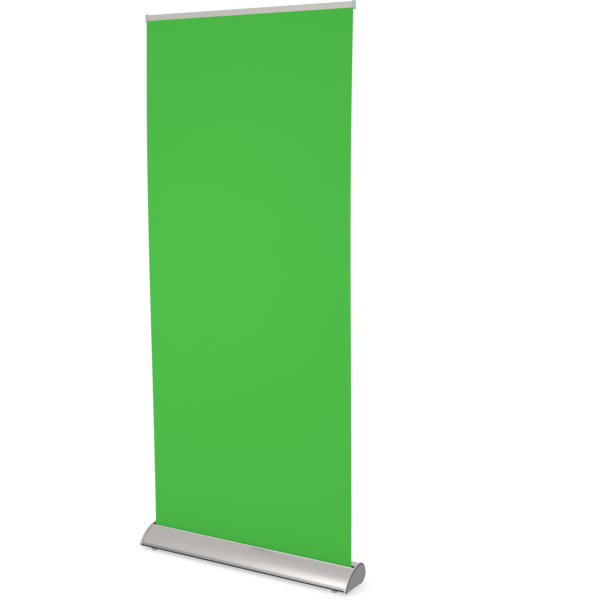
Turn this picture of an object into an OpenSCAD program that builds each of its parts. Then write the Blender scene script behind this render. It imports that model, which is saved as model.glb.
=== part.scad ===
// Roll-up banner stand: a teardrop base with a sprung roller in its toe, a
// telescopic pole in its round back, and a top rail that carries the film.
// +X runs to the right, +Y to the back and +Z up.  The origin is on the floor,
// under the middle of the base.  Sizes are in millimetres.

/* [Banner] */
// Width of the film
banner_w = 900; // [600:10:1200]
// Height of film showing between the slot and the top rail
banner_h = 2000; // [1600:10:2400]
// Thickness of the film
film_t = 0.35; // [0.2:0.05:0.5]
// Height of the film's top edge that is stuck to the rail
film_lap = 6.5; // [5:0.5:10]
// Thickness of the tape between the film and the rail
tape_t = 0.2; // [0.1:0.05:0.4]

/* [Base] */
// Depth of the base, from its toe to its back
base_d = 151; // [125:1:190]
// Height of the end caps
base_h = 80; // [66:1:100]
// Radius of the sloping front
front_r = 130; // [115:1:170]
// Radius of the toe
nose_r = 7; // [6.5:0.5:9]
// Rise of the arch under each end cap
arch_h = 2.4; // [0:0.1:3]
// Gap between the end caps and the floor
floor_gap = 9; // [7:0.5:14]
// Wall of the casing
wall_t = 2; // [1.5:0.1:2.2]
// Width of an end cap
cap_w = 10.5; // [9.5:0.5:16]
// Height of the end caps' rim above the casing
cap_proud = 2.5; // [1.5:0.1:2.6]
// Wall of an end cap
cap_wall = 3; // [2.5:0.1:3.4]
// Length of casing at each side of the film
side_gap = 12; // [10:0.5:24]
// Thickness of an end bracket
bracket_t = 3; // [2:0.5:4]
// Distance of the film behind the middle of the base
film_y = 2.5; // [0:0.5:6]

/* [Rail] */
// Height of the rail
rail_h = 28; // [24:0.5:40]
// Thickness of the rail
rail_t = 7.5; // [7:0.5:10]
// Wall of the rail
rail_wall = 2; // [1.4:0.1:2]
// Height of the rail's rear flange
flange_h = 9; // [6:0.5:12]
// Width of a rail cap, seen from the front
rail_cap_w = 11; // [8:0.5:16]
// Length of a rail cap beyond the film
rail_cap_over = 6; // [3:0.5:9]
// Height of a rail cap above the rail
rail_cap_rise = 3; // [0:0.5:5]

/* [Roller] */
// Outer radius of the roller tube
roller_r = 16; // [14:0.5:18]
// Wall of the roller tube
roller_wall = 1.5; // [1:0.1:2]
// Thickness of the turns of film left on the roller
turns_t = 1.5; // [0.5:0.1:3]
// Radius of the roller's shaft and pin
shaft_r = 4; // [3:0.5:5]
// Radius of the spring's coil
coil_r = 9.5; // [8:0.5:10.5]
// Radius of the spring's wire
wire_r = 1.1; // [0.8:0.1:1.4]
// Number of turns in the spring
coil_turns = 14; // [8:1:18]

/* [Pole] */
// Outer radius of the pole's lower tube
lower_r = 12.5; // [10.4:0.1:15]
// Wall of the pole's tubes
tube_wall = 1.3; // [1:0.1:1.5]
// Gap between one tube and the next one inside it
nest_gap = 1.1; // [0.8:0.1:1.3]
// Wall of the pole's socket
socket_wall = 3; // [2.5:0.1:3.5]
// Length of tube that stays inside the tube below
overlap = 70; // [60:5:110]

/* [Feet] */
// Radius of a front foot's knob
knob_r = 11.5; // [9:0.5:13]
// Radius of a front foot's stud
stud_r = 3; // [2.5:0.5:4]
// Distance of the feet from the ends of the base
foot_inset = 60; // [40:5:100]
// Radius of a rear pad
pad_r = 9; // [7:0.5:10]

/* [Hidden] */

$fn = 64;
fit = 0.05;      // running clearance between round pieces that turn or slide
seat = 0.3;      // gap between pieces of different bodies that rest near each other
slack = 0.2;     // clearance of a screw in a drilled hole
cut = 1;         // how far a cutter runs past the face it cuts
far = 400;       // longer than any cut through the base

// Lengths along X
casing_l = banner_w + 2 * side_gap;
casing_x = casing_l / 2;
foot_x = casing_x + cap_w - foot_inset;

// Base outline: back circle, front arc and toe circle, tangent to each other
back_r = base_h / 2;
back_c = [base_d / 2 - back_r, floor_gap + back_r];
nose_c = [nose_r - base_d / 2, floor_gap + nose_r];
front_c = lower_meet(back_c, front_r - back_r, nose_c, front_r - nose_r);
back_a = heading(front_c, back_c);
nose_a = heading(front_c, nose_c);
casing_z0 = floor_gap + cap_proud;
floor_z = casing_z0 + wall_t;

// Slot in the top of the casing
slot_front = 3;      // room in front of the film
rail_play = 1.3;     // room behind the rail
slot_clear = 1.9;    // room behind the film, where the trough has no floor
film_back = film_y + film_t / 2;
rail_y0 = film_back + tape_t;
rail_y1 = rail_y0 + rail_t;
slot_y0 = film_y - slot_front;
slot_y1 = rail_y1 + rail_play;
lip_z = top_z(slot_y0, cap_proud);
trough_z = lip_z - film_lap - seat;
film_gap = slot_front + slot_clear;
bead_r = 1.1;        // radius of the bead along the slot's front edge

// Rail
film_z1 = lip_z + banner_h;
rail_z0 = film_z1 - film_lap;
rail_z1 = rail_z0 + rail_h;
rail_x = banner_w / 2 + rail_cap_over - rail_cap_w;
rail_cap_face = 0.6;     // how far a rail cap stands proud of the rail
rail_plug = 14;          // length of a rail cap's plug
rail_cap_gap = 0.5;      // between the film's top edge and a rail cap's front lip

// Roller
turns_r = roller_r + turns_t;
axle_y = film_y - film_t / 2 - fit - turns_r;
axle_z = (floor_z + top_z(axle_y, cap_proud + wall_t)) / 2;
roller_x = banner_w / 2 + 3;
plug_l = 22;
plug_flange = 3;
bush_wall = 1.5;
shaft_in = 190;      // reach of the spring shaft into the roller
square_s = shaft_r * 1.38;   // side of the shaft's square end, inside its round

// Pole
lower_in = lower_r - tube_wall;
mid_r = lower_in - nest_gap;
mid_in = mid_r - tube_wall;
upper_r = mid_in - nest_gap;
upper_in = upper_r - tube_wall;
socket_r = lower_r + socket_wall;
socket_play = 0.8;
pole_y = slot_y1 + wall_t + socket_play + socket_r;
neck_r = lower_r + 1.6;
socket_screw_x = lower_r + 11.5;
socket_screw_y = pole_y - 4;
socket_screw_r = 1.6;
socket_lip = 1.6;
pole_z0 = floor_z + 5;
flange_t = 1.5;
channel = rail_t - rail_wall - flange_t;
tab_play = 0.6;
tab_t = channel - 2 * tab_play;
arm_h = 8;
tab_w = 14;
tab_y0 = rail_y0 + rail_wall + tab_play;
tab_z1 = rail_z1 - rail_wall - seat;
arm_z1 = rail_z1 - flange_h - 1.5;
pole_z1 = arm_z1 - arm_h;
section = (pole_z1 - pole_z0 + 2 * overlap) / 3;
lower_z1 = pole_z0 + section;
mid_z0 = lower_z1 - overlap;
mid_z1 = mid_z0 + section;
upper_z0 = mid_z1 - overlap;
collar_h = 46;
collar_grip = 28;    // length of collar below the tube's end
collar_wall = 2.6;
collar_lip = 5;      // thickness of a collar's top
bush_l = 30;         // length of the sliding ring at an inner tube's foot

// Screw ports along the casing
port_r = 4.2;
screw_r = 2;
port_reach = cap_proud + wall_t + port_r - 1;
port_y = pole_y + socket_r + port_r + 0.7;
ports = [
    front_c + (front_r - port_reach) * unit(back_a + 0.664 * (nose_a - back_a)),
    [slot_y0 + 6.5, floor_z + port_r - 0.5],
    back_c + (back_r - port_reach) * unit(0),
    back_c + (back_r - port_reach) * unit(acos((port_y - back_c[0]) / (back_r - port_reach)))
];

// Pegs that hold an end cap to its bracket
peg_r = 2.5;
bracket_play = 0.5;  // room round a bracket inside its cap
boss_l = 4;          // length of a bracket's boss, inwards
boss_wall = 4;
screw_bite = 14;     // how far a bracket screw goes into its port
head_over = 1.8;     // how far a screw's head stands out round its thread
head_h = 2.4;
pegs = [nose_c + [24, 5], back_c + 18 * unit(-45), back_c + 20 * unit(28)];

// Feet
stud_z1 = floor_z + 16;
insert_r = stud_r + 2.2;
insert_flange = 0.8;
insert_rim = 2;      // how far an insert's flange stands out round it
insert_up = 9;       // height of an insert above the casing's floor
stud_z0 = 4;
foot_y = nose_c[0] + knob_r + 1;
pad_y = back_c[0] + 2;

// ---- Geometry -----------------------------------------------------------

function unit(a) = [cos(a), sin(a)];
function heading(p, q) = atan2(q[1] - p[1], q[0] - p[0]);

// The lower of the two points at distance rp from p and rq from q
function lower_meet(p, rp, q, rq) =
    let (d = norm(q - p), a = (rp * rp - rq * rq + d * d) / (2 * d), h = sqrt(rp * rp - a * a),
         along = (q - p) / d)
    p + a * along + h * [-along[1], along[0]] * (along[0] < 0 ? 1 : -1);

function arc(c, r, a0, a1, n) = [for (i = [0 : n]) c + r * unit(a0 + (a1 - a0) * i / n)];

// Base outline in the YZ plane, drawn in by inset, with a rise under its middle
function outline(inset, rise = 0) = concat(
    arc(back_c, back_r - inset, -90, back_a, 60),
    arc(front_c, front_r - inset, back_a, nose_a, 36),
    arc(nose_c, nose_r - inset, nose_a, 270, 10),
    [for (i = [1 : 11])
        let (s = i / 12)
        [nose_c[0] + s * (back_c[0] - nose_c[0]),
         floor_gap + inset + rise * (1 - pow(2 * s - 1, 2))]]
);

// Height of the base's top surface at y, drawn in by inset
function top_z(y, inset) =
    y > front_c[0] + (front_r - inset) * cos(back_a)
        ? back_c[1] + sqrt(pow(back_r - inset, 2) - pow(y - back_c[0], 2))
        : front_c[1] + sqrt(pow(front_r - inset, 2) - pow(y - front_c[0], 2));

// A YZ section swept along X
module along_x(x0, x1) {
    translate([x0, 0, 0]) rotate([90, 0, 90]) linear_extrude(x1 - x0) children();
}

module rod_x(x0, x1, r, y = axle_y, z = axle_z) {
    translate([x0, y, z]) rotate([0, 90, 0]) cylinder(h = x1 - x0, r = r);
}

module tube_z(z0, z1, r_out, r_in) {
    translate([0, pole_y, z0]) difference() {
        cylinder(h = z1 - z0, r = r_out);
        translate([0, 0, -cut]) cylinder(h = z1 - z0 + 2 * cut, r = r_in);
    }
}

// A piece drawn for the right end, shown there or mirrored to the left end
module at_end(right) {
    if (right) children();
    else mirror([1, 0, 0]) children();
}

// ---- Base ---------------------------------------------------------------

module casing_section() {
    difference() {
        polygon(outline(cap_proud));
        difference() {
            polygon(outline(cap_proud + wall_t));
            translate([slot_y0 - wall_t, trough_z - wall_t])
                square([slot_y1 - slot_y0 + 2 * wall_t, far]);
            for (p = ports) translate(p) circle(r = port_r);
        }
        translate([slot_y0, trough_z]) square([slot_y1 - slot_y0, far]);
        translate([slot_y0, trough_z - wall_t - cut]) square([film_gap, far]);
        for (p = ports) translate(p) circle(r = screw_r + slack / 2);
    }
    translate([slot_y0 - bead_r, lip_z - bead_r / 2]) circle(r = bead_r);
}

module casing() {
    color([0.76, 0.75, 0.73]) difference() {
        along_x(-casing_x, casing_x) casing_section();
        translate([0, pole_y, back_c[1]]) cylinder(h = far, r = neck_r + fit);
        for (x = [-socket_screw_x, socket_screw_x])
            translate([x, socket_screw_y, casing_z0 - cut])
                cylinder(h = wall_t + 2 * cut, r = socket_screw_r + slack);
        for (x = [-foot_x, foot_x])
            translate([x, foot_y, casing_z0 - cut])
                cylinder(h = wall_t + 2 * cut, r = insert_r + fit);
    }
}

module end_bracket(right) {
    at_end(right) difference() {
        union() {
            along_x(casing_x, casing_x + bracket_t) polygon(outline(cap_wall + bracket_play));
            rod_x(casing_x - boss_l, casing_x + cut, shaft_r + boss_wall);
        }
        for (p = ports) rod_x(casing_x - cut, casing_x + bracket_t + cut, screw_r + slack, p[0], p[1]);
        for (p = pegs) rod_x(casing_x - cut, casing_x + bracket_t + cut, peg_r + fit, p[0], p[1]);
        rod_x(casing_x - boss_l - cut, right ? casing_x + bracket_t + cut : casing_x, shaft_r + fit);
        translate([casing_x - cut, axle_y - square_s / 2 - fit, axle_z - square_s / 2 - fit])
            cube([bracket_t + 2 * cut, square_s + 2 * fit, square_s + 2 * fit]);
    }
}

module end_bracket_left() { color([0.20, 0.20, 0.21]) end_bracket(false); }
module end_bracket_right() { color([0.20, 0.20, 0.21]) end_bracket(true); }

module bracket_screws() {
    color([0.72, 0.72, 0.74]) for (right = [false, true], p = ports) at_end(right) {
        rod_x(casing_x - screw_bite, casing_x + bracket_t + head_h, screw_r, p[0], p[1]);
        rod_x(casing_x + bracket_t, casing_x + bracket_t + head_h, screw_r + head_over, p[0], p[1]);
    }
}

module end_cap(right) {
    color([0.62, 0.62, 0.64]) at_end(right) {
        difference() {
            along_x(casing_x, casing_x + cap_w) polygon(outline(0, arch_h));
            along_x(casing_x - cut, casing_x + cap_w - cap_wall) polygon(outline(cap_wall));
        }
        for (p = pegs) rod_x(casing_x - cut, casing_x + cap_w - 1, peg_r, p[0], p[1]);
    }
}

module end_cap_left() { end_cap(false); }
module end_cap_right() { end_cap(true); }

module rear_pads() {
    bedded = 4;     // how far a pad goes up round the casing's curve
    color([0.12, 0.12, 0.12]) difference() {
        for (x = [-foot_x, foot_x]) translate([x, pad_y, 0]) cylinder(h = casing_z0 + bedded, r = pad_r);
        along_x(-casing_x - cap_w, casing_x + cap_w) polygon(outline(cap_proud));
    }
}

// ---- Roller -------------------------------------------------------------

module spring_shaft() {
    color([0.60, 0.61, 0.63]) {
        rod_x(-casing_x + fit, -casing_x + shaft_in, shaft_r);
        translate([-casing_x - bracket_t, axle_y - square_s / 2, axle_z - square_s / 2])
            cube([bracket_t + cut, square_s, square_s]);
    }
}

module spring_anchor() {
    anchor_l = 18;
    anchor_wall = 1;
    color([0.15, 0.15, 0.16]) difference() {
        rod_x(-casing_x + shaft_in - anchor_l, -casing_x + shaft_in, coil_r + wire_r + anchor_wall);
        rod_x(-casing_x + shaft_in - anchor_l - cut, -casing_x + shaft_in + cut, shaft_r + fit / 2);
    }
}

// One round wire swept along a helix about the roller's axis
module torsion_spring() {
    sides = 6;
    steps = 14;
    end_gap = 1.5;      // between the coil and the roller's plug
    spare = 22;         // length of shaft that the coil leaves free
    x0 = -roller_x + plug_l + end_gap;
    pitch = (shaft_in - casing_x + roller_x - plug_l - spare) / coil_turns;
    rings = coil_turns * steps;
    points = [for (i = [0 : rings], j = [0 : sides - 1])
        let (a = 360 * i / steps, r = coil_r + wire_r * cos(360 * j / sides))
        [x0 + wire_r + pitch * i / steps + wire_r * sin(360 * j / sides),
         axle_y + r * cos(a), axle_z + r * sin(a)]];
    skin = [for (i = [0 : rings - 1], j = [0 : sides - 1])
        let (k = (j + 1) % sides)
        [i * sides + j, i * sides + k, (i + 1) * sides + k, (i + 1) * sides + j]];
    first = [for (j = [sides - 1 : -1 : 0]) j];
    last = [for (j = [0 : sides - 1]) rings * sides + j];
    color([0.45, 0.46, 0.48]) polyhedron(points, concat(skin, [first, last]));
}

module idle_pin() {
    shoulder = 2;
    shoulder_gap = 1.5;
    color([0.60, 0.61, 0.63]) {
        rod_x(roller_x - plug_l, casing_x + bracket_t + cut, shaft_r);
        rod_x(roller_x + plug_flange + shoulder_gap, casing_x - boss_l, shaft_r + shoulder);
    }
}

module roller_tube() {
    color([0.78, 0.78, 0.78]) difference() {
        rod_x(-roller_x, roller_x, roller_r);
        rod_x(-roller_x - cut, roller_x + cut, roller_r - roller_wall);
    }
}

module roller_plug(right) {
    rim = 0.5;      // how far the flange stands out round the tube
    color([0.16, 0.16, 0.17]) at_end(right) difference() {
        union() {
            rod_x(roller_x - plug_l, roller_x + plug_flange, roller_r - roller_wall - fit / 2);
            rod_x(roller_x, roller_x + plug_flange, roller_r + rim);
        }
        rod_x(roller_x - plug_l - cut, roller_x + plug_flange + cut, shaft_r + bush_wall + fit);
    }
}

module roller_plug_left() { roller_plug(false); }
module roller_plug_right() { roller_plug(true); }

module roller_bush(right) {
    set_back = 2;   // from the plug's inner end
    color([0.93, 0.92, 0.88]) at_end(right) difference() {
        rod_x(roller_x - plug_l + set_back, roller_x + plug_flange, shaft_r + bush_wall);
        rod_x(roller_x - plug_l, roller_x + plug_flange + cut, shaft_r + fit);
    }
}

module roller_bush_left() { roller_bush(false); }
module roller_bush_right() { roller_bush(true); }

module film_turns() {
    color([0.90, 0.90, 0.88]) difference() {
        rod_x(-banner_w / 2, banner_w / 2, turns_r);
        rod_x(-banner_w / 2 - cut, banner_w / 2 + cut, roller_r + fit / 2);
    }
}

// ---- Film and rail ------------------------------------------------------

module banner_film() {
    color([0.30, 0.72, 0.28]) translate([-banner_w / 2, film_y - film_t / 2, axle_z])
        cube([banner_w, film_t, film_z1 - axle_z]);
}

module rail_tape() {
    tape_margin = 0.5;
    color([0.85, 0.84, 0.80]) translate([-rail_x, film_back, rail_z0])
        cube([2 * rail_x, tape_t, film_lap - tape_margin]);
}

// Front plate, top web and rear flange, so the pole's hook enters from below
module top_rail() {
    color([0.78, 0.77, 0.75]) along_x(-rail_x, rail_x) translate([rail_y0, rail_z0]) {
        square([rail_wall, rail_h]);
        translate([0, rail_h - rail_wall]) square([rail_t, rail_wall]);
        translate([rail_t - flange_t, rail_h - flange_h]) square([flange_t, flange_h]);
    }
}

module rail_cap(right) {
    color([0.72, 0.78, 0.84]) at_end(right) {
        translate([rail_x, rail_y0, rail_z0])
            cube([rail_cap_w, rail_t + rail_cap_face, rail_h + rail_cap_rise]);
        translate([rail_x, rail_y0 - rail_cap_face, film_z1 + rail_cap_gap])
            cube([rail_cap_w, rail_cap_face + cut, rail_z1 + rail_cap_rise - film_z1 - rail_cap_gap]);
        translate([rail_x - rail_plug, rail_y0 + rail_wall + slack / 2, rail_z1 - flange_h])
            cube([rail_plug + cut, channel - slack, flange_h - rail_wall - slack / 2]);
    }
}

module rail_cap_left() { rail_cap(false); }
module rail_cap_right() { rail_cap(true); }

// ---- Pole ---------------------------------------------------------------

module pole_socket() {
    flange_l = 2 * (socket_screw_x + 7);
    flange_y = socket_screw_y - 9;
    flange_z = 4.5;
    depth = 3;      // bore below the pole, for its foot plug
    top = top_z(pole_y, cap_proud) + socket_lip;
    shoulder = min(top_z(pole_y - socket_r, cap_proud + wall_t),
                   top_z(pole_y + socket_r, cap_proud + wall_t)) - 0.5;
    color([0.13, 0.13, 0.14]) difference() {
        union() {
            intersection() {
                translate([0, pole_y, floor_z]) cylinder(h = shoulder - floor_z, r = socket_r);
                along_x(-flange_l, flange_l) polygon(outline(cap_proud + wall_t));
            }
            translate([0, pole_y, back_c[1]]) cylinder(h = top - back_c[1], r = neck_r);
            translate([-flange_l / 2, flange_y, floor_z]) cube([flange_l, back_c[0] - flange_y, flange_z]);
        }
        translate([0, pole_y, pole_z0 - depth]) cylinder(h = far, r = lower_r + fit);
        for (x = [-socket_screw_x, socket_screw_x])
            translate([x, socket_screw_y, floor_z - cut])
                cylinder(h = flange_z + 2 * cut, r = socket_screw_r + fit);
    }
}

module socket_screws() {
    socket_bite = 4.3;
    socket_head = 1.8;
    color([0.72, 0.72, 0.74]) for (x = [-socket_screw_x, socket_screw_x])
        translate([x, socket_screw_y, casing_z0]) {
            cylinder(h = wall_t + socket_bite, r = socket_screw_r);
            translate([0, 0, -socket_head]) cylinder(h = socket_head, r = socket_screw_r + head_over);
        }
}

module pole_foot() {
    plug_up = 18;
    rim_h = 3;
    rim_in = 0.3;
    color([0.13, 0.13, 0.14]) translate([0, pole_y, pole_z0]) {
        translate([0, 0, -rim_h]) cylinder(h = rim_h, r = lower_r - rim_in);
        cylinder(h = plug_up, r = lower_in - fit);
    }
}

module pole_lower() {
    color([0.74, 0.75, 0.76]) tube_z(pole_z0, lower_z1, lower_r, lower_in);
}

module pole_mid() {
    color([0.74, 0.75, 0.76]) tube_z(mid_z0, mid_z1, mid_r, mid_in);
}

module pole_upper() {
    color([0.74, 0.75, 0.76]) tube_z(upper_z0, pole_z1, upper_r, upper_in);
}

// Ring round the foot of an inner tube, which slides in the tube outside it
module mid_bush() {
    color([0.93, 0.92, 0.88]) tube_z(mid_z0, mid_z0 + bush_l, lower_in - fit, mid_r + fit / 2);
}

module upper_bush() {
    color([0.93, 0.92, 0.88]) tube_z(upper_z0, upper_z0 + bush_l, mid_in - fit, upper_r + fit / 2);
}

// Split ring above a tube's end, which the collar squeezes on the inner tube
module collet(end_z, r_in, r_out) {
    gap = 0.5;
    collet_h = 12;
    split_w = 1.2;
    uncut = 3;      // height of the ring left whole below the split
    color([0.93, 0.92, 0.88]) difference() {
        tube_z(end_z + gap, end_z + collet_h, r_out, r_in + fit);
        translate([-split_w / 2, pole_y - r_out - cut, end_z + uncut])
            cube([split_w, 2 * r_out + 2 * cut, collet_h]);
    }
}

module lower_collet() { collet(lower_z1, mid_r, lower_r - 0.4); }
module mid_collet() { collet(mid_z1, upper_r, mid_r - 0.4); }

module collar(end_z, r_out, r_in) {
    ribs = 12;
    rib_w = 2;
    rib_rise = 0.7;
    rib_root = 0.5;     // how far a rib starts inside the wall
    rib_low = 6;        // plain height below the ribs
    rib_plain = 14;     // plain height below and above them together
    weld = 0.01;
    color([0.14, 0.14, 0.15]) {
        tube_z(end_z - collar_grip, end_z + collar_h - collar_grip - collar_lip + weld,
               r_out + collar_wall, r_out + fit);
        tube_z(end_z + collar_h - collar_grip - collar_lip, end_z + collar_h - collar_grip,
               r_out + collar_wall, r_in + 2 * fit);
        for (i = [0 : ribs - 1])
            translate([0, pole_y, end_z - collar_grip + rib_low]) rotate([0, 0, (i + 0.5) * 360 / ribs])
                translate([r_out + collar_wall - rib_root, -rib_w / 2, 0])
                    cube([rib_root + rib_rise, rib_w, collar_h - rib_plain]);
    }
}

module lower_collar() { collar(lower_z1, lower_r, mid_r); }
module mid_collar() { collar(mid_z1, mid_r, upper_r); }

// Plug, round head, forward arm and the upright tab that the rail hangs on
module pole_hook() {
    head_r = upper_r + 2.2;
    plug_down = 20;
    color([0.13, 0.13, 0.14]) {
        translate([0, pole_y, pole_z1 - plug_down]) cylinder(h = plug_down + cut, r = upper_in - fit);
        translate([0, pole_y, pole_z1]) cylinder(h = arm_h, r = head_r);
        translate([-tab_w / 2, tab_y0, pole_z1]) cube([tab_w, pole_y - tab_y0, arm_h]);
        translate([-tab_w / 2, tab_y0, pole_z1]) cube([tab_w, tab_t, tab_z1 - pole_z1]);
    }
}

// ---- Feet ---------------------------------------------------------------

module foot_inserts() {
    color([0.72, 0.72, 0.74]) for (x = [-foot_x, foot_x]) translate([x, foot_y, casing_z0]) difference() {
        union() {
            translate([0, 0, -insert_flange]) cylinder(h = insert_flange, r = insert_r + insert_rim);
            cylinder(h = wall_t + insert_up, r = insert_r);
        }
        translate([0, 0, -insert_flange - cut]) cylinder(h = 2 * far, r = stud_r + fit);
    }
}

module foot_stud(x) {
    color([0.66, 0.67, 0.69]) translate([x, foot_y, stud_z0]) cylinder(h = stud_z1 - stud_z0, r = stud_r);
}

module foot_stud_left() { foot_stud(-foot_x); }
module foot_stud_right() { foot_stud(foot_x); }

module foot_knob(x) {
    top = casing_z0 - insert_flange - seat;
    low_chamfer = 1.5;
    high_chamfer = 2;
    color([0.80, 0.87, 0.90]) translate([x, foot_y, 0]) difference() {
        union() {
            cylinder(h = low_chamfer, r1 = knob_r - low_chamfer, r2 = knob_r);
            translate([0, 0, low_chamfer]) cylinder(h = top - low_chamfer - high_chamfer, r = knob_r);
            translate([0, 0, top - high_chamfer])
                cylinder(h = high_chamfer, r1 = knob_r, r2 = knob_r - high_chamfer);
        }
        translate([0, 0, stud_z0]) cylinder(h = far, r = stud_r + fit);
    }
}

module foot_knob_left() { foot_knob(-foot_x); }
module foot_knob_right() { foot_knob(foot_x); }

casing();
end_bracket_left();
end_bracket_right();
bracket_screws();
end_cap_left();
end_cap_right();
spring_shaft();
spring_anchor();
torsion_spring();
idle_pin();
roller_tube();
roller_plug_left();
roller_plug_right();
roller_bush_left();
roller_bush_right();
film_turns();
banner_film();
rail_tape();
top_rail();
rail_cap_left();
rail_cap_right();
pole_socket();
socket_screws();
pole_foot();
pole_lower();
lower_collet();
lower_collar();
pole_mid();
mid_bush();
mid_collet();
mid_collar();
pole_upper();
upper_bush();
pole_hook();
foot_inserts();
foot_stud_left();
foot_stud_right();
foot_knob_left();
foot_knob_right();
rear_pads();
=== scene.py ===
import math

import bmesh
import bpy
import numpy as np
from mathutils import Matrix, Vector


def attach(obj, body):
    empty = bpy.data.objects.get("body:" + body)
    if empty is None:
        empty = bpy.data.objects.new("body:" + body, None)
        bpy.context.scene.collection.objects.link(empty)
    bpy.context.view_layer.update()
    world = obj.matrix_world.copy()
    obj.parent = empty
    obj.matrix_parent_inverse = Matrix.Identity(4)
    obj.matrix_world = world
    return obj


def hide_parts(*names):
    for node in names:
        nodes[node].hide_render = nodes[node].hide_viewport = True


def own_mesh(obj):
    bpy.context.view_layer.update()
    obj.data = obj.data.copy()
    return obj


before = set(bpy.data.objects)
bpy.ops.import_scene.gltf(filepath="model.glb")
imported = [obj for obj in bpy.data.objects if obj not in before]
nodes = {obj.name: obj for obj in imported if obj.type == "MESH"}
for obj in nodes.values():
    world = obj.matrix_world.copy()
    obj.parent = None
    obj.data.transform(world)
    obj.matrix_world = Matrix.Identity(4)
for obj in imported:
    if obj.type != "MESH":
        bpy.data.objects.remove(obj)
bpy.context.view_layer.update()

# ---- Camera ---------------------------------------------------------------
# It stands a little over four metres away, to the right of the banner, with
# its lens at eye height and tipped down a few degrees.

turn, tip, roll = (math.radians(degrees) for degrees in (31.083, 7.065, -0.135))
ahead = Vector((-math.sin(turn) * math.cos(tip), math.cos(turn) * math.cos(tip), -math.sin(tip)))
level = Vector((math.cos(turn), math.sin(turn), 0))
square_up = level.cross(ahead)
across = math.cos(roll) * level + math.sin(roll) * square_up
upward = math.cos(roll) * square_up - math.sin(roll) * level
camera = bpy.data.objects.new("camera", bpy.data.cameras.new("camera"))
stand_point = (2.3438, -3.4969, 1.6548)
camera.matrix_world = (Matrix.Translation(stand_point)
                       @ Matrix((across, upward, -ahead)).transposed().to_4x4())
camera.data.sensor_width = 36
camera.data.lens = 68.108
camera.data.shift_y = -0.045
camera.data.clip_end = 200
bpy.context.collection.objects.link(camera)
bpy.context.scene.camera = camera

# ---- Studio ---------------------------------------------------------------
# A pale seamless floor under a white surround, which dims towards the right and
# the far left, and one soft light ahead on the left that brightens the slope.


class Wire:
    """An output socket in a finish's node tree. Sums on it add Math nodes, so 1 - wire works."""

    def __init__(self, tree, socket=None):
        self.tree, self.socket = tree, socket

    def node(self, kind, inputs=None, out=0, stops=None, **settings):
        """Adds a node of this type: its settings and ramp stops first, then its sockets."""
        made = self.tree.nodes.new(kind)
        for key, value in settings.items():
            setattr(made, key, value)
        if stops:
            ramp = made.color_ramp.elements
            for place, _ in stops[2:]:
                ramp.new(place)
            for element, (place, grey) in zip(list(ramp), stops):
                element.position = place
                element.color = (grey, grey, grey, 1)
        for key, value in (inputs or {}).items():
            if isinstance(value, Wire):
                self.tree.links.new(value.socket, made.inputs[key])
            else:
                made.inputs[key].default_value = value
        return Wire(self.tree, made.outputs[out] if len(made.outputs) else None)

    def math(self, operation, other=0.0, first=None):
        """This socket and another value through one Math node."""
        ends = {0: self, 1: other} if first is None else {0: first, 1: self}
        return self.node("ShaderNodeMath", ends, operation=operation)

    def __add__(self, other):
        return self.math("ADD", other)

    def __sub__(self, other):
        return self.math("SUBTRACT", other)

    def __mul__(self, other):
        return self.math("MULTIPLY", other)

    def __rsub__(self, other):
        return self.math("SUBTRACT", first=other)

    def __gt__(self, other):
        return self.math("GREATER_THAN", other)

    def __lt__(self, other):
        return self.math("LESS_THAN", other)

    __radd__ = __add__
    __rmul__ = __mul__

    def noise(self, scale, stretch=(1, 1, 1), detail=3.0):
        """Noise of 0 to 1 on object coordinates, drawn out along an axis where stretch is small."""
        place = self.node("ShaderNodeTexCoord", out="Object")
        place = self.node("ShaderNodeMapping", {"Vector": place, "Scale": stretch})
        return self.node("ShaderNodeTexNoise", {"Vector": place, "Scale": scale, "Detail": detail})

    def blend(self, first, second):
        """A colour between two, by this value."""
        return self.node("ShaderNodeMix", {0: self, 6: first, 7: second}, out=2, data_type="RGBA")


def finish(name, **constant):
    """A new material whose shader has these constants on its own sockets."""
    material = bpy.data.materials.new(name)
    material.use_nodes = True
    shader = material.node_tree.nodes["Principled BSDF"]
    for key, value in constant.items():
        shader.inputs[key.replace("_", " ")].default_value = value
    return material, shader, Wire(material.node_tree)


def feed(shader, colour=None, rough=None, height=None, depth=0.0):
    """Links a colour, a roughness and a bump of this height in metres to a shader."""
    links = shader.id_data.links
    if colour:
        links.new(colour.socket, shader.inputs["Base Color"])
    if rough:
        links.new(rough.socket, shader.inputs["Roughness"])
    if height:
        bump = height.node("ShaderNodeBump", {"Height": height, "Strength": 1.0, "Distance": depth})
        links.new(bump.socket, shader.inputs["Normal"])


def shade(level, tint=(1, 1, 1)):
    """An opaque linear colour from a grey level and a tint."""
    return (level * tint[0], level * tint[1], level * tint[2], 1)


floor_r, floor_sides = 40.0, 96
floor_paint, shader, wire = finish("studio_floor", Emission_Color=shade(1), Emission_Strength=0.54)
mottle = wire.noise(1.5)
feed(shader, mottle.blend(shade(0.46), shade(0.48)), 0.65 + 0.1 * mottle, wire.noise(300), 0.00005)
around = np.linspace(0, 2 * math.pi, floor_sides + 1)[:-1]
rim = np.stack([np.cos(around), np.sin(around), 0 * around], 1) * floor_r
floor_mesh = bpy.data.meshes.new("floor")
floor_mesh.from_pydata(rim.tolist(), [], [list(range(floor_sides))])
floor_mesh.materials.append(floor_paint)
floor = bpy.data.objects.new("floor", floor_mesh)
bpy.context.collection.objects.link(floor)

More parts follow.
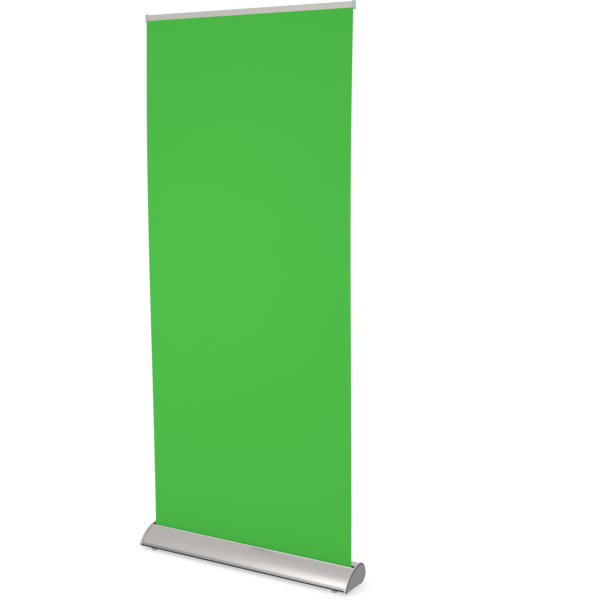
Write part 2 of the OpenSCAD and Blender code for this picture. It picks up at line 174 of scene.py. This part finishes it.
world = bpy.data.worlds.new("studio")
bpy.context.scene.world = world
world.use_nodes = True
surround = Wire(world.node_tree)
backing = world.node_tree.nodes["Background"]
seen = surround.node("ShaderNodeLightPath", out="Is Camera Ray")
direction = surround.node("ShaderNodeTexCoord", out="Generated")
heading = surround.node("ShaderNodeSeparateXYZ", {0: direction})
flag = heading.node("ShaderNodeMapRange", {0: heading, 1: -0.85, 2: -0.4, 3: 0.5, 4: 0.0})
glow = 1.02 * seen + (1 - seen) * (1.05 - 0.3 * heading - flag)
world.node_tree.links.new(glow.socket, backing.inputs["Strength"])
backing.inputs["Color"].default_value = (1, 1, 1, 1)


def soft_light(name, place, aim, size, power):
    """A square area light that shines from place towards aim and isn't seen itself."""
    lamp = bpy.data.lights.new(name, "AREA")
    lamp.size = size
    lamp.energy = power
    held = bpy.data.objects.new(name, lamp)
    held.location = place
    held.rotation_euler = (Vector(aim) - Vector(place)).to_track_quat("-Z", "Y").to_euler()
    held.visible_camera = False
    bpy.context.collection.objects.link(held)


soft_light("ahead_left", place=(-0.36, -1.5, 1.42), aim=(0.46, -0.07, 0.03), size=0.8, power=7.0)
bpy.context.scene.view_settings.view_transform = "Standard"

# ---- Casing ---------------------------------------------------------------
# The base is one drawn aluminium section, satin anodised, with die lines along
# its length and a bead before the slot. Its colour also holds painted light: a
# painted highlight on the bead, painted shade on the toe with a painted shadow
# line under it, and painted shade, near black, in the trough that takes the rail.

MM = 0.001


def drawn_metal(name, level, tint, rough, along=(0.6, 60, 60)):
    """Anodised aluminium with die lines along one axis, faint cloudiness and a satin gloss."""
    material, shader, wire = finish(name, Metallic=1.0)
    lines = wire.noise(22, along, 6)
    cloud = wire.noise(5, (0.6, 3, 3), 2)
    colour = (0.6 * lines + 0.4 * cloud).blend(shade(level * 0.95, tint), shade(level * 1.04, tint))
    feed(shader, colour, rough - 0.05 + 0.1 * lines, lines, 0.00003)
    return material, shader, wire, colour


def dress(material, *names):
    """Puts a finish on every material slot of these nodes."""
    for name in names:
        for place in nodes[name].material_slots:
            place.material = material


slot_y = (-0.5, 11.675)
slot_floor_z = 70.0
lip_z = 79.85
bead_w = 2.3
toe_top, sole_top, fade = 27.0, 19.0, 0.8
casing_satin, shader, wire, colour = drawn_metal("casing_satin", 0.45, (1.0, 0.96, 0.925), 0.38)
spot = wire.node("ShaderNodeTexCoord", out="Object")
back, high = (wire.node("ShaderNodeSeparateXYZ", {0: spot}, out=axis) for axis in (1, 2))
# Painted shade: the trough of the slot is painted near black and not metallic, for the shade inside it.
slot_shade = (back > (slot_y[0] - 0.05) * MM) * (back < (slot_y[1] + 0.05) * MM)
slot_shade = slot_shade * (high < (lip_z - 0.8) * MM) * (high > slot_floor_z * MM)
# Painted shade: by height, a darker band over the lower toe and a near-black painted shadow line under it.
toe_shade, sole_shade = (high.node("ShaderNodeMapRange", {0: high, 1: (top - fade) * MM, 2: top * MM, 3: 1.0, 4: 0.0})
             for top in (toe_top, sole_top))
colour = toe_shade.blend(colour, shade(0.29, (1.0, 0.98, 0.95)))
colour = sole_shade.blend(colour, shade(0.03))
# Painted highlight: a bright strip along the top of the bead in front of the slot.
bead_highlight = (back > (slot_y[0] - bead_w) * MM) * (back < (slot_y[0] + 0.05) * MM)
bead_highlight = bead_highlight * (high > (lip_z - 0.6) * MM)
colour = bead_highlight.blend(colour, shade(0.86))
links = casing_satin.node_tree.links
links.new(slot_shade.blend(colour, shade(0.012)).socket, shader.inputs["Base Color"])
links.new((1 - slot_shade).socket, shader.inputs["Metallic"])
dress(casing_satin, "casing")

# ---- End caps -------------------------------------------------------------
# Two moulded caps close the casing. Each has a rim that stands a little proud
# of the metal and rolls over, widely at the top and back, into a flat face.

casing_x = 462.0
cap_w = 10.5
floor_gap = 9.0
back_r, front_r, nose_r = 40.0, 130.0, 7.0
back_c = np.array([35.5, 49.0])
nose_c = np.array([-68.5, 16.0])
bulge_at, bulge_span = 55, 45


def lower_meet(p, rp, q, rq):
    """The lower of the two points that lie rp from p and rq from q."""
    span = math.dist(p, q)
    run = (rp * rp - rq * rq + span * span) / (2 * span)
    along = (q - p) / span
    foot = p + run * along
    side = math.sqrt(rp * rp - run * run) * np.array([-along[1], along[0]])
    return min(foot + side, foot - side, key=lambda c: c[1])


front_c = lower_meet(back_c, front_r - back_r, nose_c, front_r - nose_r)
back_a = math.degrees(math.atan2(*(back_c - front_c)[::-1]))
nose_a = math.degrees(math.atan2(*(nose_c - front_c)[::-1]))


def base_outline(inset, rise, widen=0.0):
    """The base's closed outline in Y and Z, drawn in by inset: back circle, front arc and toe
    circle, which run into each other, and an underside that a parabola lifts by rise.
    The inset grows by widen in a bell shape round the top of the back."""
    parts = []
    for centre, radius, a0, a1, n in ((back_c, back_r, -90, back_a, 72),
                                      (front_c, front_r, back_a, nose_a, 48),
                                      (nose_c, nose_r, nose_a, 270, 16)):
        a = np.linspace(a0, a1, n, endpoint=a1 == 270)
        r = radius - inset - widen * np.exp(-((a - bulge_at) / bulge_span) ** 2)
        parts.append(centre + r[:, None] * np.stack([np.cos(np.radians(a)), np.sin(np.radians(a))], 1))
    s = np.linspace(0, 1, 26)[1:-1]
    under = floor_gap + inset + rise * (1 - (2 * s - 1) ** 2)
    parts.append(np.stack([nose_c[0] + s * (back_c[0] - nose_c[0]), under], 1))
    return np.concatenate(parts)


def at_x(x, outline):
    """A ring of points in three dimensions: an outline in Y and Z set at x."""
    return np.column_stack([np.full(len(outline), x), outline])


def loft(rings, joined=False):
    """Points and faces of a skin over rings of equal length: a quad between each pair of
    neighbours, and flat ends, or the last ring joined to the first."""
    rings = np.asarray(rings, float)
    m, n = rings.shape[:2]
    ring, j = np.meshgrid(np.arange(m if joined else m - 1), np.arange(n), indexing="ij")
    up, k = (ring + 1) % m, (j + 1) % n
    faces = np.stack([ring * n + j, ring * n + k, up * n + k, up * n + j], -1).reshape(-1, 4).tolist()
    if not joined:
        faces += [list(range(n))[::-1], list(range((m - 1) * n, m * n))]
    return rings.reshape(-1, 3), faces


def bar_x(x0, x1, radius, y, z, round_off=0.4, n=32):
    """A round bar along X with softened ends."""
    a = np.linspace(0, 2 * math.pi, n, endpoint=False)
    ring = np.stack([np.cos(a), np.sin(a)], 1)
    steps = ((x0, radius - round_off), (x0 + round_off, radius),
             (x1 - round_off, radius), (x1, radius - round_off))
    return loft([at_x(x, np.array([y, z]) + r * ring) for x, r in steps])


def solid(name, parts, material, sharp=30):
    """One mesh from several closed skins in millimetres, turned outwards, smooth below sharp degrees."""
    points, faces, base = [], [], 0
    for part_points, part_faces in parts:
        points.append(part_points)
        faces += [[base + i for i in face] for face in part_faces]
        base += len(part_points)
    mesh = bpy.data.meshes.new(name)
    mesh.from_pydata((np.concatenate(points) * MM).tolist(), [], faces)
    work = bmesh.new()
    work.from_mesh(mesh)
    bmesh.ops.recalc_face_normals(work, faces=work.faces)
    work.to_mesh(mesh)
    work.free()
    mesh.polygons.foreach_set("use_smooth", np.ones(len(mesh.polygons), bool))
    mesh.set_sharp_from_angle(angle=math.radians(sharp))
    mesh.materials.append(material)
    made = bpy.data.objects.new(name, mesh)
    bpy.context.collection.objects.link(made)
    return made


def mirrored(parts):
    """The same skins on the other side of the middle plane."""
    return [(points * (-1, 1, 1), faces) for points, faces in parts]


mould_grain = 0.00004


def moulded(name, level, tint, rough, **constant):
    """Moulded plastic: an even colour with slight flow marks and a fine spark-eroded texture."""
    material, shader, wire = finish(name, **constant)
    flow = wire.noise(14, (1, 1, 1), 3)
    texture = wire.noise(1400, (1, 1, 1), 2)
    feed(shader, flow.blend(shade(level * 0.94, tint), shade(level * 1.05, tint)),
         rough - 0.06 + 0.08 * texture + 0.06 * flow, texture, mould_grain)
    return material


cap_grey, shader, wire = finish("cap_grey", Specular_IOR_Level=0.25)
flow, texture = wire.noise(14), wire.noise(1400)
# The cap's tone attribute carries its own grey face and silver rim, and also painted shade on the roll-over
# and a painted highlight along the front of the face's edge.
tone_and_painted_light = wire.node("ShaderNodeAttribute", out="Fac", attribute_name="tone_and_painted_light")
tone_and_painted_light = tone_and_painted_light * (0.97 + 0.06 * flow)
tone_greys = ((0.0, 0.10), (0.3, 0.19), (0.45, 0.22), (0.6, 0.24), (1.0, 0.50))
grey = tone_and_painted_light.node("ShaderNodeValToRGB", {0: tone_and_painted_light}, stops=tone_greys)
feed(shader, grey, 0.36 + 0.08 * texture + 0.06 * flow, texture, mould_grain)
metal = tone_and_painted_light.node("ShaderNodeMapRange", {0: tone_and_painted_light, 1: 0.6, 2: 0.95, 3: 0.0, 4: 0.8})
cap_grey.node_tree.links.new(metal.socket, shader.inputs["Metallic"])
pegs = [nose_c + (24, 5)] + [back_c + r * np.array([math.cos(math.radians(a)), math.sin(math.radians(a))])
                             for r, a in ((18, -45), (20, 28))]
cap_end = casing_x + cap_w
# Each ring: its place along X, the inset, what the inset grows by, and its tone
# from 0.1, painted shade on the roll-over, through 0.45, the grey face, to 1, the silver rim.
face_tone, roll_painted_shade = 0.45, 0.1
rim_lines = [(-3.0, 3.0, 0, 1), (-cap_w, 3.0, 0, 1), (-cap_w, 0.5, 0, 1), (-10.35, 0.15, 0, 1),
             (-10.0, 0, 0, 1), (-6.0, 0, 0, 1), (-5.2, 0, 0, 0.9)]
roll_over, top_widen = 62, 7.0
for step in np.linspace(0, roll_over, 13):
    fall = (1 - math.cos(math.radians(step))) / (1 - math.cos(math.radians(roll_over)))
    reach = math.sin(math.radians(step)) / math.sin(math.radians(roll_over))
    rim_lines.append((-5.0 + 4.4 * reach, 2.4 * fall, top_widen * fall, roll_painted_shade))
painted_highlight_rings = slice(len(rim_lines), len(rim_lines) + 4)
rim_lines += [(-0.25, 2.5, top_widen, 0.8), (0.0, 2.75, top_widen, 1), (0.0, 3.0, top_widen, 1),
              (-0.2, 3.25, top_widen, 0.8), (-0.4, 3.4, top_widen, face_tone),
              (-0.4, 5.0, top_widen, face_tone)]
arch_h = 2.4
rim_rings = [at_x(cap_end + x, base_outline(inset, 0.0 if i < 2 else arch_h, grow))
             for i, (x, inset, grow, _) in enumerate(rim_lines)]
ring_tone = np.array([line[3] for line in rim_lines])
low = base_outline(0, arch_h)
# Painted highlight: these four rings at the face's edge keep their bright tone at the front above the toe,
# and fall to a painted shade tone elsewhere.
highlight_share = np.clip((10 - low[:, 0]) / 60, 0, 1) * np.clip((low[:, 1] - 12) / 6, 0, 1)
tones = np.repeat(ring_tone[:, None], len(low), 1)
shaded = 0.35
tones[painted_highlight_rings] = shaded + (tones[painted_highlight_rings] - shaded) * highlight_share
peg_r, face_t = 2.5, 3.2
cap_skins = [loft(rim_rings)] + [bar_x(casing_x - 1, cap_end - face_t, peg_r, y, z) for y, z in pegs]
for side, skins in (("right", cap_skins), ("left", mirrored(cap_skins))):
    cap = solid(f"cap_{side}", skins, cap_grey, 22)
    tone_field = np.full(len(cap.data.vertices), face_tone)
    tone_field[:tones.size] = tones.ravel()
    cap.data.attributes.new("tone_and_painted_light", "FLOAT", "POINT").data.foreach_set("value", tone_field)
    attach(cap, "base")
    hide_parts(f"end_cap_{side}")

# ---- Fixings and roller inside the base ------------------------------------
# Black nylon brackets carry an aluminium roller on a square-ended shaft and a
# pin. A torsion spring inside it winds the film in. Steel screws hold it all.

black_nylon = moulded("black_nylon", 0.022, (1.0, 1.0, 1.05), 0.46)
natural_nylon = moulded("natural_nylon", 0.72, (1.0, 0.98, 0.88), 0.40)


def steel(name, level, tint, rough, scale):
    """Steel with a patchy plated bloom and fine turning lines."""
    material, shader, wire = finish(name, Metallic=1.0)
    bloom = wire.noise(scale, (1, 1, 1), 4)
    fine = wire.noise(900, (1, 1, 1), 2)
    feed(shader, bloom.blend(shade(level * 0.86, tint), shade(level * 1.08, tint)),
         rough - 0.08 + 0.16 * bloom, fine, 0.00002)
    return material


zinc = steel("zinc_plate", 0.60, (0.97, 0.99, 1.03), 0.34, 160)
bright_steel = steel("ground_steel", 0.58, (1.0, 1.0, 1.01), 0.22, 90)
spring_wire = steel("oiled_spring_wire", 0.20, (1.0, 0.97, 0.94), 0.36, 120)
roller_metal = drawn_metal("mill_aluminium", 0.66, (1.0, 1.0, 0.99), 0.30)[0]
dress(black_nylon, "end_bracket_left", "end_bracket_right", "spring_anchor", "roller_plug_left",
      "roller_plug_right", "pole_foot")
dress(natural_nylon, "roller_bush_left", "roller_bush_right", "mid_bush", "upper_bush",
      "lower_collet", "mid_collet")
dress(zinc, "bracket_screws", "socket_screws", "foot_inserts")
dress(bright_steel, "spring_shaft", "idle_pin", "foot_stud_left", "foot_stud_right")
dress(spring_wire, "torsion_spring")
dress(roller_metal, "roller_tube")

# ---- Film -----------------------------------------------------------------
# A polyester film, printed plain green on the front and left pale on the back.
# It is pulled up out of the slot, bellies forward a little and hangs from the rail.

film_w = 900.0
film_y = 2.5
film_t = 0.35
axle_y, axle_z = -15.225, 42.529
film_top = 2079.85
belly, edge_curl = 15.0, 2.0


def slab(middle, facing, thick):
    """Points and faces of a sheet: its middle surface moved half its thickness each way along
    the facing directions, with strips that close its four edges."""
    m, n = middle.shape[:2]
    points = np.concatenate([(middle + way * facing * thick / 2).reshape(-1, 3) for way in (1, -1)])
    at = np.arange(m * n).reshape(m, n)
    front = np.stack([at[:-1, :-1], at[1:, :-1], at[1:, 1:], at[:-1, 1:]], -1).reshape(-1, 4)
    edge = np.concatenate([at[0, :], at[1:, -1], at[-1, -2::-1], at[-2:0:-1, 0]])
    strips = np.stack([edge, np.roll(edge, -1), np.roll(edge, -1) + m * n, edge + m * n], 1)
    return points, np.concatenate([front, front[:, ::-1] + m * n, strips]).tolist()


def film_surface(rows, columns):
    """The film's middle surface and its facing directions. It leans forward of its plane by
    belly * sin(pi * s^1.6), with s from 0 at the slot to 1 at the rail, and its two
    edges curl back a little by the square of their distance from the flat middle."""
    z = np.linspace(axle_z, film_top, rows)
    s = np.clip((z - lip_z) / (film_top - 8 - lip_z), 0, 1)
    x = np.linspace(-film_w / 2, film_w / 2, columns)
    hang, width = np.meshgrid(s, x, indexing="ij")
    curl = edge_curl * np.clip((np.abs(width) - 330) / 120, 0, 1) ** 2 * np.sin(math.pi * hang)
    y = film_y - belly * np.sin(math.pi * hang ** 1.6) + curl
    surface = np.stack([width, y, np.broadcast_to(z[:, None], y.shape)], -1)
    down, side = np.gradient(surface, axis=(0, 1))
    facing = np.cross(side, down)
    return surface, facing / np.linalg.norm(facing, axis=-1, keepdims=True)


film_print, shader, wire = finish("film_print", Specular_IOR_Level=0.15)
front_side = wire.node("ShaderNodeAttribute", out="Fac", attribute_name="printed_side")
cloud = wire.noise(2.2, (1, 1, 1), 2)
weave = wire.noise(700, (1, 1, 1), 2)
green = cloud.blend((0.050, 0.400, 0.042, 1), (0.053, 0.412, 0.045, 1))
pale = cloud.blend(shade(0.66, (1, 1, 0.985)), shade(0.70, (1, 1, 0.99)))
feed(shader, front_side.blend(pale, green), 0.52 + 0.08 * weave, weave, 0.00002)

surface, facing = film_surface(181, 61)
film = solid("film", [slab(surface, facing, film_t)], film_print)
printed = film.data.attributes.new("printed_side", "FLOAT", "POINT")
half = len(film.data.vertices) // 2
faces_front = facing[0, 0, 1] < 0
printed.data.foreach_set("value", np.repeat([float(faces_front), float(not faces_front)], half))
film.visible_glossy = False
film.visible_diffuse = False
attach(film, "base")
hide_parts("banner_film")
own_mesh(film)

# The last turns of film stay on the roller, in a spiral that is stuck to it.
turn_count = 3.0
turn_pitch = 0.37
first_r = 16.21
wind = np.linspace(0, turn_count * 2 * math.pi, 217)
spiral_r = first_r + turn_pitch * wind / (2 * math.pi)
spiral = np.stack([axle_y + spiral_r * np.cos(wind), axle_z + spiral_r * np.sin(wind)], 1)
outward = np.stack([0 * wind, np.cos(wind), np.sin(wind)], 1)
turns_middle = np.stack([at_x(-film_w / 2, spiral), at_x(film_w / 2, spiral)], 1)
leader_plain, shader, wire = finish("leader_film", Specular_IOR_Level=0.3)
cloud = wire.noise(12)
feed(shader, cloud.blend(shade(0.62), shade(0.68)), 0.45 + 0.1 * cloud, wire.noise(700), 0.00002)
turns = solid("roller_turns", [slab(turns_middle, np.stack([outward, outward], 1), film_t)], leader_plain)
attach(turns, "roller")
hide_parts("film_turns")

# ---- Top rail -------------------------------------------------------------
# A drawn aluminium strip, open below at the back for the pole's hook. The film
# is taped to the lower part of its front.


def rounded(corners, radius, steps=5):
    """A polygon with each corner replaced by an arc of this radius, tangent to both sides."""
    corners = np.asarray(corners, float)
    before = corners - np.roll(corners, 1, 0)
    after = np.roll(corners, -1, 0) - corners
    before /= np.linalg.norm(before, axis=1, keepdims=True)
    after /= np.linalg.norm(after, axis=1, keepdims=True)
    t = np.linspace(0, 1, steps)[:, None, None]
    start, end = corners - before * radius, corners + after * radius
    curve = (1 - t) ** 2 * start + 2 * t * (1 - t) * corners + t ** 2 * end
    return curve.transpose(1, 0, 2).reshape(-1, 2)


rail_y0, rail_y1 = 2.875, 10.375
rail_z0, rail_z1 = 2073.35, 2101.35
rail_x = 445.0
rail_wall, flange_t, flange_h = 2.0, 1.5, 9.0
rail_shape = rounded([(rail_y0, rail_z0), (rail_y0 + rail_wall, rail_z0),
                      (rail_y0 + rail_wall, rail_z1 - rail_wall), (rail_y1 - flange_t, rail_z1 - rail_wall),
                      (rail_y1 - flange_t, rail_z1 - flange_h), (rail_y1, rail_z1 - flange_h),
                      (rail_y1, rail_z1), (rail_y0, rail_z1)], 0.45)
rail_satin = drawn_metal("rail_satin", 0.52, (1.0, 0.95, 0.90), 0.36)[0]
rail_rings = [at_x(x, rail_shape) for x in np.linspace(-rail_x, rail_x, 9)]
rail = solid("rail_strip", [loft(rail_rings)], rail_satin)
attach(rail, "rail")
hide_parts("top_rail")

tape, shader, wire = finish("clear_tape", Coat_Weight=0.3, Coat_Roughness=0.15)
bubbles = wire.noise(60, (0.3, 1, 1), 4)
amber = bubbles.blend(shade(0.62, (1, 0.99, 0.94)), shade(0.70, (1, 0.99, 0.95)))
feed(shader, amber, 0.25 + 0.15 * bubbles)
dress(tape, "rail_tape")

# ---- Rail caps ------------------------------------------------------------
# Pale blue, slightly clear plastic plugs close the rail's ends. Each stands a
# little above the rail and in front of it, over the film's top edge.

rail_cap_top = 2104.35
rail_cap_end = 456.0
cap_face = 0.6
lip_y = rail_y0 - cap_face
step_z = film_top + 0.5


def rail_cap_ring(x, inset):
    """The cap's outline at x, drawn in by inset, with a step where the film passes in front."""
    y0, y1 = rail_y0 + inset, rail_y1 + cap_face - inset
    z0, z1 = rail_z0 + inset, rail_cap_top - inset
    return at_x(x, rounded([(y0, z0), (y1, z0), (y1, z1), (lip_y + inset, z1),
                            (lip_y + inset, step_z + inset), (y0, step_z + inset)], 0.28, 4))


softening = [(0.0, 0.7), (0.2, 0.32), (0.7, 0.0)]
cap_rings = [rail_cap_ring(rail_x + d, inset) for d, inset in softening]
cap_rings += [rail_cap_ring(rail_cap_end - d, inset) for d, inset in softening[::-1]]
plug_gap = 0.1
plug_y = (rail_y0 + rail_wall + plug_gap, rail_y1 - flange_t - plug_gap)
plug_z = (rail_z1 - flange_h, rail_z1 - rail_wall - plug_gap)
plug_shape = rounded([(plug_y[i], plug_z[j]) for i, j in ((0, 0), (1, 0), (1, 1), (0, 1))], 0.4)
rail_plug = loft([at_x(x, plug_shape) for x in (rail_x - 14, rail_x + 0.5)])
clear_blue = moulded("clear_blue_plastic", 0.42, (0.88, 1.0, 1.14), 0.30,
                     Coat_Weight=0.4, Coat_Roughness=0.12)
rail_cap_skins = [loft(cap_rings), rail_plug]
for side, skins in (("right", rail_cap_skins), ("left", mirrored(rail_cap_skins))):
    plug = solid(f"rail_plug_{side}", skins, clear_blue)
    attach(plug, "rail")
    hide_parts(f"rail_cap_{side}")

# ---- Pole -----------------------------------------------------------------
# Three nested aluminium tubes stand in a black socket behind the slot. A
# ribbed collar turns to grip each inner tube, and a hook on top holds the rail.

pole_satin = drawn_metal("pole_satin", 0.52, (1.0, 0.995, 0.98), 0.30, (60, 60, 0.6))[0]
dress(pole_satin, "pole_lower", "pole_mid", "pole_upper")
pole_y = 29.975
collar_wall, ribs, rib_rise = 2.6, 12, 0.7
collar_black = moulded("collar_black", 0.026, (1.0, 1.0, 1.04), 0.40)


def collar_skin(tube_end, tube_r, inner_r):
    """A collar round the pole: a closed profile turned about Z, whose outside swells into
    twelve ribs by a raised cosine, which fades out towards both ends."""
    low, high, wall_r = tube_end - 28, tube_end + 18, tube_r + collar_wall
    profile = np.array([(tube_r + 0.05, low), (wall_r - 0.9, low), (wall_r - 0.25, low + 0.3),
                        (wall_r, low + 1.0)]
                       + [(wall_r, z) for z in np.linspace(low + 3, high - 4, 24)]
                       + [(wall_r, high - 1.6), (wall_r - 0.35, high - 0.6), (wall_r - 1.2, high),
                          (inner_r + 0.5, high), (inner_r + 0.1, high - 0.4), (inner_r + 0.1, high - 5),
                          (tube_r + 0.05, high - 5)])
    a = np.linspace(0, 2 * math.pi, 240, endpoint=False)
    ends = np.clip((profile[:, 1] - low - 5) / 2, 0, 1) * np.clip((high - 7 - profile[:, 1]) / 2, 0, 1)
    ends = np.where(profile[:, 0] >= wall_r, ends * ends * (3 - 2 * ends), 0)
    rib = np.clip((np.cos(ribs * a + math.pi) - 0.25) / 0.5, 0, 1)
    r = profile[:, :1] + rib_rise * ends[:, None] * (rib * rib * (3 - 2 * rib))
    z = np.broadcast_to(profile[:, 1:], r.shape)
    return loft(np.stack([r * np.cos(a), pole_y + r * np.sin(a), z], -1), joined=True)


for name, tube_end, tube_r, inner_r in (("lower_collar", 753.283, 12.5, 10.1),
                                        ("mid_collar", 1418.067, 10.1, 7.7)):
    collar = solid(f"ribbed_{name}", [collar_skin(tube_end, tube_r, inner_r)], collar_black, 40)
    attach(collar, name)
    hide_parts(name)


def softened(name, node, material, width, angle=35):
    """A copy of a node's shape, merged and cleaned, with the edges that turn by more than
    angle degrees rounded over by width."""
    mesh = nodes[node].data.copy()
    work = bmesh.new()
    work.from_mesh(mesh)
    bmesh.ops.remove_doubles(work, verts=work.verts, dist=0.00001)
    bmesh.ops.dissolve_limit(work, angle_limit=math.radians(2), verts=work.verts, edges=work.edges)
    edges = [e for e in work.edges if len(e.link_faces) == 2 and e.calc_face_angle() > math.radians(angle)]
    bmesh.ops.bevel(work, geom=edges, offset=width * MM, segments=3, profile=0.5, affect="EDGES",
                    clamp_overlap=True)
    bmesh.ops.recalc_face_normals(work, faces=work.faces)
    work.to_mesh(mesh)
    work.free()
    mesh.materials.clear()
    mesh.materials.append(material)
    mesh.polygons.foreach_set("use_smooth", np.ones(len(mesh.polygons), bool))
    mesh.set_sharp_from_angle(angle=math.radians(40))
    made = bpy.data.objects.new(name, mesh)
    bpy.context.collection.objects.link(made)
    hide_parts(node)
    return made


hook = softened("rail_hook", "pole_hook", black_nylon, 0.5)
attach(hook, "pole_upper")
dress(black_nylon, "pole_socket")

# ---- Feet -----------------------------------------------------------------
# Two pale blue plastic knobs under the toe screw down to level the base. Their
# sides are fluted for the fingers. Two rubber pads stand under the back.

knob_clear = moulded("knob_clear", 0.37, (0.86, 1.0, 1.07), 0.30, Coat_Weight=0.5, Coat_Roughness=0.1)
foot_x, foot_y = 412.5, -56.0
knob_r, knob_top, stud_r = 11.5, 10.4, 3.05
flutes, flute_depth = 18, 0.55


def knob_skin(x):
    """A knob turned about Z from a closed profile, its rim drawn in by eighteen shallow flutes."""
    profile = np.array([(stud_r, 4.0), (0.4, 4.0), (0.4, 0.6), (7.5, 0.6), (8.2, 0.0), (knob_r - 1.2, 0.0),
                        (knob_r - 0.35, 0.35), (knob_r, 1.2)]
                       + [(knob_r, z) for z in np.linspace(2, knob_top - 3, 8)]
                       + [(knob_r - 0.3, knob_top - 1.6), (knob_r - 1.0, knob_top - 0.8),
                          (knob_r - 2.2, knob_top - 0.3), (knob_r - 3.6, knob_top),
                          (stud_r + 0.5, knob_top), (stud_r, knob_top - 0.5)])
    a = np.linspace(0, 2 * math.pi, 180, endpoint=False)
    depth = np.clip((profile[:, 0] - 9) / 2.5, 0, 1)[:, None]
    r = profile[:, :1] - flute_depth * depth * (0.5 + 0.5 * np.cos(flutes * a)) ** 2
    z = np.broadcast_to(profile[:, 1:], r.shape)
    return loft(np.stack([x + r * np.cos(a), foot_y + r * np.sin(a), z], -1), joined=True)


for side, sign in (("left", -1), ("right", 1)):
    knob = solid(f"fluted_knob_{side}", [knob_skin(sign * foot_x)], knob_clear, 40)
    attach(knob, f"foot_knob_{side}")
    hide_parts(f"foot_knob_{side}")

rubber, shader, wire = finish("pad_rubber", Specular_IOR_Level=0.3)
dust = wire.noise(90, (1, 1, 1), 4)
feed(shader, dust.blend(shade(0.018), shade(0.034)), 0.72 + 0.15 * dust, dust, 0.00008)
dress(rubber, "rear_pads")
